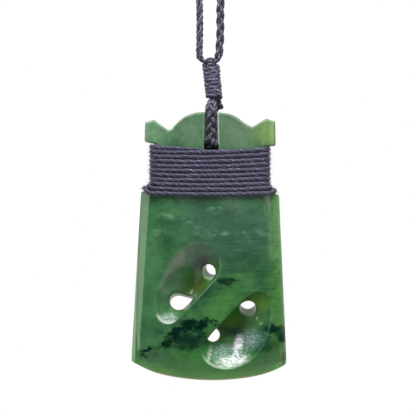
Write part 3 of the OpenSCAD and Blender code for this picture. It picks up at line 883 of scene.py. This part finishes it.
def cord_material(name, deep, mid, crown, glint, shaded=1.0):
    """Waxed cord. Shaded is how bright it stays down in the stone's channel."""
    m, tree, shader = material(name)
    uv = node(tree, "UVMap", uv_map="fibres").outputs["UV"]
    place = node(tree, "TexCoord").outputs["Object"]
    fibres = noise(tree, uv, 1.0, 4, 0.65, (0.9, 26, 1))
    wax = noise(tree, place, 1500, 3, 0.65)
    specks = noise(tree, place, 3600, 2, 0.6)
    # The crest of each ply takes a painted highlight, with specks of painted glint, and the groove beside it
    # stays dark
    turn = node(tree, "SeparateXYZ", {0: uv})
    lit_crest = math_node(tree, "COSINE", times(tree, turn.outputs["Y"], 2 * math.pi * PLIES))
    lit_crest = remap(tree, lit_crest, -0.6, 1)
    colour = mix(tree, remap(tree, fibres, 0.3, 0.72), rgb(*deep), rgb(*mid))
    colour = mix(tree, times(tree, lit_crest, 0.35), colour, rgb(*crown))
    colour = mix(tree, remap(tree, wax, 0.5, 0.75, 0, 0.5), colour, rgb(*WAX_DARK))
    colour = mix(tree, times(tree, remap(tree, specks, 0.5, 0.68), lit_crest), colour, rgb(*glint))
    if shaded < 1:
        height = node(tree, "SeparateXYZ", {0: place}).outputs["Z"]
        light = remap(tree, height, SHADE_LOW, SHADE_TOP, shaded, 1)
        sockets = {0: colour, "Scale": light}
        colour = node(tree, "VectorMath", sockets, operation="SCALE").outputs[0]
    feed(tree, shader, {"Base Color": colour, "Roughness": remap(tree, fibres, 0.25, 0.75, 0.62, 0.42),
                        "Specular IOR Level": 0.45, "Sheen Weight": 0.15})
    emboss(tree, shader, fibres, 0.08 * MM, 0.7)
    return m


waxed_cord = cord_material("waxed_cord", (18, 15, 29), (68, 61, 89), (96, 88, 118), (172, 165, 198))


def finish_cord(piece, node_name, look=waxed_cord):
    piece.data.materials.append(look)
    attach(piece, "root")
    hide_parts(node_name)


HAIR_R = 0.03
HAIR_STEPS = 4


def stray_fibres(name, path, count, reach, seed):
    """Fine hairs that stand out of the lashing, each a thin three-sided tube that curls away."""
    chance = np.random.default_rng(seed)
    verts, faces = [], []
    for _ in range(count):
        i = chance.integers(2, len(path) - 2)
        along = path[i + 1] - path[i - 1]
        along /= np.linalg.norm(along)
        out = chance.normal(size=3)
        out -= out.dot(along) * along
        out /= np.linalg.norm(out)
        curl = chance.normal(size=3) * 0.6 + along * chance.choice((-1, 1))
        length = reach * chance.uniform(0.4, 1.6)
        root = path[i] + out * LASH_R * 0.8
        first = len(verts)
        for j in range(HAIR_STEPS + 1):
            s = j / HAIR_STEPS
            centre = root + length * (out * s * (1 - 0.35 * s) + curl * 0.7 * s * s)
            for a in 2 * math.pi * np.arange(3) / 3:
                ring = np.cross(along, out) * math.cos(a) + along * math.sin(a)
                verts.append(centre + ring * HAIR_R * (1 - 0.7 * s))
        for j in range(HAIR_STEPS):
            low, high = first + 3 * j, first + 3 * j + 3
            for k in range(3):
                n = (k + 1) % 3
                faces.append((low + k, low + n, high + n, high + k))
        tip = first + 3 * HAIR_STEPS
        faces += [(first, first + 2, first + 1), (tip, tip + 1, tip + 2)]
    mesh = new_mesh(name, verts, faces)
    mesh.uv_layers.new(name="fibres")
    mesh.materials.append(waxed_cord)
    piece = new_object(name, mesh)
    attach(piece, "root")


path, runs = even(lash_path(), 0.15)
path = ironed(path, 3)
grow = STUB_TIP + (LASH_D - STUB_TIP) * ramp(runs, 0, STUB_GROWS)
grow = grow * (1 + 0.03 * np.sin(1.7 * runs) + 0.025 * np.sin(0.43 * runs + 2))
# Each pass spreads to meet the next, most of all on the right, where they lie further apart, and on the back
pressed = 0.53 + 0.03 * path[:, 0] / LASH_EDGE + 0.045 * ramp(path[:, 1], 0, 3)
lashing = twisted_cord("waist_lashing", [path], (0, 0, 1), [grow * 0.5], [grow * pressed],
                       pitch=4.4, sides=14, relief=0.42)
lash_cord = cord_material("waxed_lashing_cord", (14, 13, 27), (52, 51, 80), (72, 70, 102), (128, 126, 160))
finish_cord(lashing, "lashing", look=lash_cord)
# More hairs stand out where the cord turns at the stone's edges
turns = path[np.abs(path[:, 0]) > LASH_EDGE - 1.6]
stray_fibres("lashing_edge_fibres", turns, 1800, 0.5, 11)
stray_fibres("lashing_fibres", path, 900, 0.3, 12)


# Barrel knot: the same cord wound eight and a half times round the two plaits, just above the stone. The
# turns lie close and uneven, as they were pulled tight by hand, and the knot's foot lies right of its top.

KNOT_TOP = np.array([0.17, 0, 10.1])
KNOT_BOTTOM = np.array([0.86, 0, 2.7])
WRAP_D = 0.82
WRAP_TURNS = 8.5
# Radius of the turns at the knot's foot, and how much it grows by the top
WRAP_OUT = 1.35
WRAP_WIDENS = 0.08
TURN_POINTS = 48


def wrap_path():
    low = KNOT_BOTTOM + np.array([0, 0, WRAP_D / 2])
    high = KNOT_TOP - np.array([0, 0, WRAP_D / 2])
    out = []
    for i in range(int(WRAP_TURNS * TURN_POINTS) + 1):
        s = i / (WRAP_TURNS * TURN_POINTS)
        a = 2 * math.pi * i / TURN_POINTS
        r = WRAP_OUT + WRAP_WIDENS * s + 0.04 * math.sin(2.1 * a) * math.sin(0.37 * a)
        rise = 0.1 * math.sin(a + 0.4) + 0.07 * math.sin(1.63 * a) * math.sin(0.29 * a + 1)
        out.append(low + (high - low) * s + np.array([r * math.cos(a), r * math.sin(a), rise]))
    return np.array(out)


path, runs = even(wrap_path(), 0.12)
swell = WRAP_D * (1 + 0.08 * np.sin(0.9 * runs) * np.sin(0.37 * runs + 1))
knot = twisted_cord("knot_wrapping", [path], (0, 0, 1), [swell * 0.52], [swell * 0.61],
                    pitch=6.5, sides=14, relief=0.35)
finish_cord(knot, "knot_wrap")


# Tucked end of the wrapping: the last short length of the same cord, laid over the crotch between the two
# neck plaits and pulled back down into the knot, which keeps the wrapping from working loose.

TUCK_ROUTE = [(-0.95, -1.08, 10.5), (-0.55, -0.9, 10.85), (0.15, 0, 11.05), (0.8, 0.9, 10.85),
              (1.15, 1.08, 10.5), (0.7, 0.9, 10.3), (0.1, 0.1, 10.4), (-0.5, -0.75, 10.35)]
TUCK_R = 0.32

path, runs = even(smooth_route(TUCK_ROUTE, 12), 0.08)
tuck = twisted_cord("knot_tucked_end", [path], (0, 0, 1), [TUCK_R], [TUCK_R], pitch=2.0, sides=14)
finish_cord(tuck, "knot_tuck")


# Hanging loop: a three-strand plait of the same waxed cord. It comes out of the knot, goes down the front
# channel, through the stone and up the back. Each strand is a piece of its own.

LOOP_ROUTE = [(0.52, -0.38, 6.5), (0.66, -0.38, 4.6), (0.56, -0.42, 2.95), (0.34, -1.05, 2.15),
              (0.22, -2.15, 1.2), (0.22, -2.9, 0.1), (0.3, -3, -1.6), (0.3, -3, -3.4), (0.3, -3, -5.2),
              (0.3, -2.7, -6.2), (0.3, -1.6, -6.55), (0.3, 0, -6.58), (0.3, 1.6, -6.55), (0.3, 2.7, -6.2),
              (0.3, 3, -5.2), (0.3, 3, -3.4), (0.3, 3, -1.6), (0.34, 3.08, -0.1), (1.06, 2.92, 0.88),
              (1.7, 2.1, 1.5), (1.6, 1.15, 2.2), (1.08, 0.42, 2.95), (0.72, 0.38, 4.6), (0.54, 0.38, 6.5)]
LOOP_PERIOD = 6.5
# Half width and half depth of the plait's weave, and of each strand
LOOP_WEAVE = (0.75, 0.44)
LOOP_STRAND = (0.4, 0.44)


def squeeze(z):
    """Share of the full width that the plait keeps as the knot grips it."""
    s = ramp(z, 1.3, 1.5)
    return 1 - 0.55 * s * s * (3 - 2 * s)


def plait(route, runs, across, width, depth, period, share):
    """Centre lines of the three strands of a plait along a route."""
    heading = heading_of(route)
    flat = np.cross(heading, np.broadcast_to(across, heading.shape))
    flat /= np.linalg.norm(flat, axis=1)[:, None]
    wide = np.cross(flat, heading)
    out = []
    for k in range(3):
        a = 2 * np.pi * (runs / period + k / 3)
        out.append(route + (share * width * np.sin(a))[:, None] * wide
                   + (share * depth * np.sin(2 * a))[:, None] * flat)
    return out


route, runs = even(smooth_route(LOOP_ROUTE, 10), 0.15)
share = squeeze(route[:, 2])
# The strands spread to fill the hole through the stone
fill = 1 + 0.3 * ramp(-route[:, 2], 5.2, 0.6)
loop_cord = cord_material("waxed_loop_cord", (16, 14, 28), (62, 59, 86), (104, 100, 130), (190, 187, 214),
                          shaded=0.55)
loop_strands = plait(route, runs, (1, 0, 0), LOOP_WEAVE[0] * fill, LOOP_WEAVE[1], LOOP_PERIOD, share)
for number, strand in enumerate(loop_strands, 1):
    # Out of the channel they plump up again, before the knot grips them
    plump = 1 + 0.2 * ramp(strand[:, 2], 0, 0.5)
    piece = twisted_cord("loop_strand_%d_cord" % number, [strand], (1, 0, 0),
                         [LOOP_STRAND[0] * share * fill * plump],
                         [LOOP_STRAND[1] * share * plump * (1 + 2.2 * (fill - 1))], pitch=3.4, sides=12)
    finish_cord(piece, "loop_strand_%d" % number, look=loop_cord)


# Neck cord: two halves of a three-strand plait of waxed cord, from the knot up round the neck to the nape.
# The left half shows its thin edge to the front and the right half its flat face.

NECK_ROUTE = [(4.7, 0), (12, -0.6), (24, -4), (38, -12), (50, -24), (59, -40), (64, -59), (65, -79),
              (63, -100), (58, -123), (51, -146), (43, -169), (34.5, -192), (26, -215), (18, -237),
              (11, -256), (6, -270), (3, -279), (2.2, -287), (2.12, -294)]
# Left cord's X, right cord's X, height, share of full width
KNOT_ENTRY = [(-2.18, 1.9, 12.6, 1), (-2.15, 1.76, 11.6, 1), (-1.8, 1.5, 10.95, 0.85),
              (-1.15, 1.15, 10.5, 0.5), (-0.6, 0.85, 10.05, 0.42), (-0.42, 0.72, 9.4, 0.42),
              (-0.27, 0.66, 8.6, 0.4), (-0.18, 0.62, 7.3, 0.4)]
NECK_PERIOD = 7.4
NECK_WEAVE = (0.49, 0.34)
NECK_STRAND_R = 0.39
LEFT_FULLER = 1.06

for side, label in ((-1, "left"), (1, "right")):
    points = [(side * x, 0, z + DROP) for x, z in NECK_ROUTE]
    points += [(entry[(side + 1) // 2], 0, entry[2]) for entry in KNOT_ENTRY]
    route, runs = even(smooth_route(points, 8), 0.3)
    # Interpolation takes the heights from the lowest up
    low_first = np.array(KNOT_ENTRY[::-1])
    share = np.interp(route[:, 2], low_first[:, 2], low_first[:, 3])
    # Each half keeps its own side to the front all the way round
    heading = heading_of(route)
    forward = np.broadcast_to((0.0, 1.0, 0.0), heading.shape)
    across = np.cross(heading, forward) if side > 0 else forward
    strands = plait(route, runs, across, *NECK_WEAVE, NECK_PERIOD, share)
    half = NECK_STRAND_R * share * (LEFT_FULLER if side < 0 else 1)
    piece = twisted_cord("neck_plait_%s" % label, strands, (0, 1, 0), [half] * 3, [half] * 3,
                         pitch=4.6, sides=12, relief=0.45)
    finish_cord(piece, "neck_cord_%s" % label)


# Closure at the nape: a plain barrel wound of the same waxed cord, which joins the two halves of the neck
# cord. It is hidden behind the neck, so it is kept as the frame's own solid and only gets its look here.


def closure_material():
    m, tree, shader = material("waxed_closure_cord")
    place = node(tree, "TexCoord").outputs["Object"]
    sockets = {"Scale": 350, "Distortion": 1.5, "Vector": place}
    turns = node(tree, "TexWave", sockets, bands_direction="X").outputs["Fac"]
    wax = noise(tree, place, 1500, 3, 0.65, (0.4, 1, 1))
    colour = mix(tree, turns, rgb(18, 15, 29), rgb(74, 68, 96))
    colour = mix(tree, remap(tree, wax, 0.5, 0.7, 0, 0.5), colour, rgb(96, 88, 118))
    feed(tree, shader, {"Base Color": colour, "Roughness": 0.52})
    emboss(tree, shader, turns, 0.3 * MM)
    return m


bpy.data.objects["nape_knot"].material_slots[0].material = closure_material()


# Studio: a plain pale floor far below, white surroundings and soft lights. The camera is level with the
# stone and square to it, far off with a long lens.

FLOOR_Z = -0.95
FLOOR_HALF = 1.5
AIM = Vector((0, 0, -0.335))
CAMERA_AWAY = 1.2
FRAME_WIDTH = 0.0854
FILM_WIDTH = 36
CAMERA_X = -0.00041
CAMERA_Z = -0.32967

corners = [(x * FLOOR_HALF, y * FLOOR_HALF, FLOOR_Z) for x, y in ((-1, -1), (1, -1), (1, 1), (-1, 1))]
floor_mesh = bpy.data.meshes.new("floor")
floor_mesh.from_pydata(corners, [], [(0, 1, 2, 3)])
floor = new_object("floor", floor_mesh)
floor_paint, floor_tree, floor_shader = material("floor_paint")
feed(floor_tree, floor_shader, {"Base Color": (0.7, 0.7, 0.7, 1), "Roughness": 0.8})
floor_mesh.materials.append(floor_paint)

world = bpy.data.worlds.new("studio")
bpy.context.scene.world = world
world.use_nodes = True
sky = world.node_tree
backing = sky.nodes["Background"]
# White all round to look at, but as light it is bright behind the stone and dim in front of it
seen = node(sky, "LightPath").outputs["Is Camera Ray"]
toward = node(sky, "SeparateXYZ", {0: node(sky, "TexCoord").outputs["Generated"]})
as_light = remap(sky, toward.outputs["Y"], -0.5, 0.7, 0.1, 0.6)
feed(sky, backing, {"Color": (1, 1, 1, 1), "Strength": math_node(sky, "MAXIMUM", seen, as_light)})


def soft_light(name, place, width, height, power, tint=(1, 1, 1)):
    data = bpy.data.lights.new(name, "AREA")
    data.shape = "RECTANGLE"
    data.size = width
    data.size_y = height
    data.energy = power
    data.color = tint
    lamp = new_object(name, data)
    lamp.location = place
    lamp.rotation_euler = (AIM - Vector(place)).to_track_quat("-Z", "Y").to_euler()


soft_light("overhead_front", (0.0, -0.39, 0.245), 1.35, 0.38, 12.0)
soft_light("side_light_left", (-0.8, -0.12, -0.3), 0.3, 0.5, 0.95)
soft_light("fill_light", (0.3, -0.95, -0.1), 0.6, 0.4, 1.2, (1, 0.97, 0.93))
soft_light("low_right_card", (0.29, -0.045, -0.545), 0.17, 0.25, 0.12, (1, 0.93, 0.86))

bpy.context.scene.view_settings.view_transform = "Standard"

camera_data = bpy.data.cameras.new("camera")
camera_data.sensor_width = FILM_WIDTH
camera_data.lens = FILM_WIDTH * CAMERA_AWAY / FRAME_WIDTH
camera = new_object("camera", camera_data)
camera.location = (CAMERA_X, -CAMERA_AWAY - FACE_Y * MM, CAMERA_Z)
camera.rotation_euler = (math.radians(90), 0, 0)
bpy.context.scene.camera = camera
